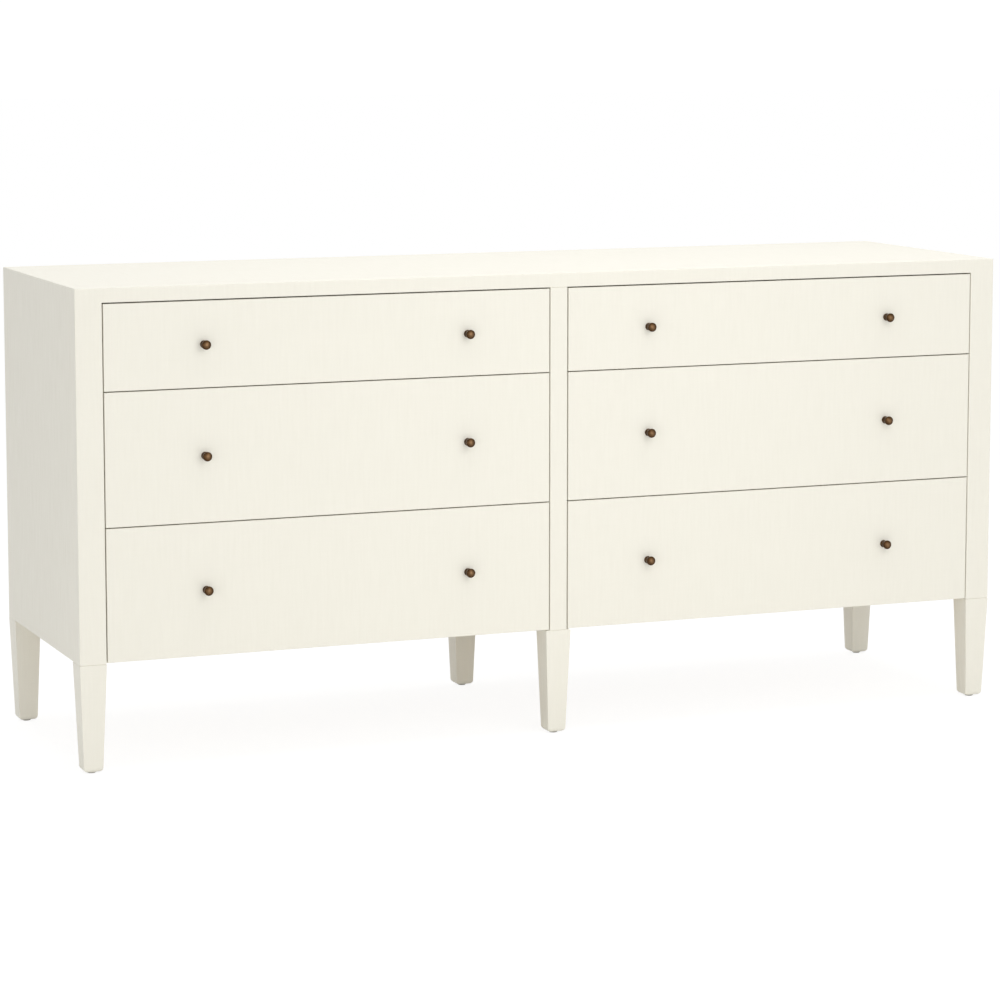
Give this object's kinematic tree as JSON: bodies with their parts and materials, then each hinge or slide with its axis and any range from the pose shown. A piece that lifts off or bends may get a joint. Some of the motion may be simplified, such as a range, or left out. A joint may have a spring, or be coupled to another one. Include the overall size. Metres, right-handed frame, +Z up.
{
  "type": "dresser with drawers",
  "caption": "Wide low double dresser: a cream woven-wrap case on tapered square legs, with flush inset drawers, small round brass knobs and full-extension slides.",
  "frame": {"origin": "on the floor, under the middle of the whole dresser's box, knobs included", "axes": "+Z up, the drawers face and open towards -Y, +X to the right of someone facing them"},
  "size_m": [1.829, 0.54, 0.864],
  "materials": {
    "cream_wrap": "board and hardwood wrapped in a fine woven cloth under satin cream lacquer",
    "case_board": "unpainted board",
    "back_board": "thin board, sprayed matt cream",
    "drawer_wood": "clear satin lacquer on solid pale wood",
    "drawer_ply": "clear satin lacquer on plywood",
    "aged_brass": "aged brown patina, softly polished",
    "slide_steel": "zinc plated",
    "fastener_steel": "zinc plated",
    "glide_plastic": "matt"
  },
  "bodies": {
    "case": {"top_panel": "cream_wrap", "left_side_panel": "cream_wrap", "right_side_panel": "cream_wrap", "centre_partition": "cream_wrap", "bottom_panel": "case_board", "back_panel": "back_board", "back_panel_screws": "fastener_steel", "stretchers": "case_board", "front_left_leg": "cream_wrap", "front_centre_leg": "cream_wrap", "front_right_leg": "cream_wrap", "rear_left_leg": "cream_wrap", "rear_centre_leg": "cream_wrap", "rear_right_leg": "cream_wrap", "leg_bolts": "fastener_steel", "leg_inserts": "fastener_steel", "foot_glides": "glide_plastic", "cabinet_slides": "slide_steel"},
    "upper_left_drawer": {"upper_left_drawer_front": "cream_wrap", "upper_left_drawer_sides": "drawer_wood", "upper_left_drawer_ends": "drawer_wood", "upper_left_drawer_bottom": "drawer_ply", "upper_left_drawer_knobs": "aged_brass", "upper_left_drawer_slides": "slide_steel"},
    "upper_left_slide_middle": {"upper_left_middle_slides": "slide_steel"},
    "middle_left_drawer": {"middle_left_drawer_front": "cream_wrap", "middle_left_drawer_sides": "drawer_wood", "middle_left_drawer_ends": "drawer_wood", "middle_left_drawer_bottom": "drawer_ply", "middle_left_drawer_knobs": "aged_brass", "middle_left_drawer_slides": "slide_steel"},
    "middle_left_slide_middle": {"middle_left_middle_slides": "slide_steel"},
    "lower_left_drawer": {"lower_left_drawer_front": "cream_wrap", "lower_left_drawer_sides": "drawer_wood", "lower_left_drawer_ends": "drawer_wood", "lower_left_drawer_bottom": "drawer_ply", "lower_left_drawer_knobs": "aged_brass", "lower_left_drawer_slides": "slide_steel"},
    "lower_left_slide_middle": {"lower_left_middle_slides": "slide_steel"},
    "upper_right_drawer": {"upper_right_drawer_front": "cream_wrap", "upper_right_drawer_sides": "drawer_wood", "upper_right_drawer_ends": "drawer_wood", "upper_right_drawer_bottom": "drawer_ply", "upper_right_drawer_knobs": "aged_brass", "upper_right_drawer_slides": "slide_steel"},
    "upper_right_slide_middle": {"upper_right_middle_slides": "slide_steel"},
    "middle_right_drawer": {"middle_right_drawer_front": "cream_wrap", "middle_right_drawer_sides": "drawer_wood", "middle_right_drawer_ends": "drawer_wood", "middle_right_drawer_bottom": "drawer_ply", "middle_right_drawer_knobs": "aged_brass", "middle_right_drawer_slides": "slide_steel"},
    "middle_right_slide_middle": {"middle_right_middle_slides": "slide_steel"},
    "lower_right_drawer": {"lower_right_drawer_front": "cream_wrap", "lower_right_drawer_sides": "drawer_wood", "lower_right_drawer_ends": "drawer_wood", "lower_right_drawer_bottom": "drawer_ply", "lower_right_drawer_knobs": "aged_brass", "lower_right_drawer_slides": "slide_steel"},
    "lower_right_slide_middle": {"lower_right_middle_slides": "slide_steel"}
  },
  "joints": [
    {"name": "upper_left_drawer_slide", "type": "slide", "parent": "case", "child": "upper_left_drawer", "axis": [0, -1, 0], "range_m": [0, 0.42]},
    {"name": "upper_left_middle_slide", "type": "slide", "parent": "case", "child": "upper_left_slide_middle", "axis": [0, -1, 0], "range_m": [0, 0.21]},
    {"name": "middle_left_drawer_slide", "type": "slide", "parent": "case", "child": "middle_left_drawer", "axis": [0, -1, 0], "range_m": [0, 0.42]},
    {"name": "middle_left_middle_slide", "type": "slide", "parent": "case", "child": "middle_left_slide_middle", "axis": [0, -1, 0], "range_m": [0, 0.21]},
    {"name": "lower_left_drawer_slide", "type": "slide", "parent": "case", "child": "lower_left_drawer", "axis": [0, -1, 0], "range_m": [0, 0.42]},
    {"name": "lower_left_middle_slide", "type": "slide", "parent": "case", "child": "lower_left_slide_middle", "axis": [0, -1, 0], "range_m": [0, 0.21]},
    {"name": "upper_right_drawer_slide", "type": "slide", "parent": "case", "child": "upper_right_drawer", "axis": [0, -1, 0], "range_m": [0, 0.42]},
    {"name": "upper_right_middle_slide", "type": "slide", "parent": "case", "child": "upper_right_slide_middle", "axis": [0, -1, 0], "range_m": [0, 0.21]},
    {"name": "middle_right_drawer_slide", "type": "slide", "parent": "case", "child": "middle_right_drawer", "axis": [0, -1, 0], "range_m": [0, 0.42]},
    {"name": "middle_right_middle_slide", "type": "slide", "parent": "case", "child": "middle_right_slide_middle", "axis": [0, -1, 0], "range_m": [0, 0.21]},
    {"name": "lower_right_drawer_slide", "type": "slide", "parent": "case", "child": "lower_right_drawer", "axis": [0, -1, 0], "range_m": [0, 0.42]},
    {"name": "lower_right_middle_slide", "type": "slide", "parent": "case", "child": "lower_right_slide_middle", "axis": [0, -1, 0], "range_m": [0, 0.21]}
  ],
  "couplings": [
    {"joint": "upper_left_middle_slide", "follows": "upper_left_drawer_slide", "ratio": 0.5},
    {"joint": "middle_left_middle_slide", "follows": "middle_left_drawer_slide", "ratio": 0.5},
    {"joint": "lower_left_middle_slide", "follows": "lower_left_drawer_slide", "ratio": 0.5},
    {"joint": "upper_right_middle_slide", "follows": "upper_right_drawer_slide", "ratio": 0.5},
    {"joint": "middle_right_middle_slide", "follows": "middle_right_drawer_slide", "ratio": 0.5},
    {"joint": "lower_right_middle_slide", "follows": "lower_right_drawer_slide", "ratio": 0.5}
  ]
}
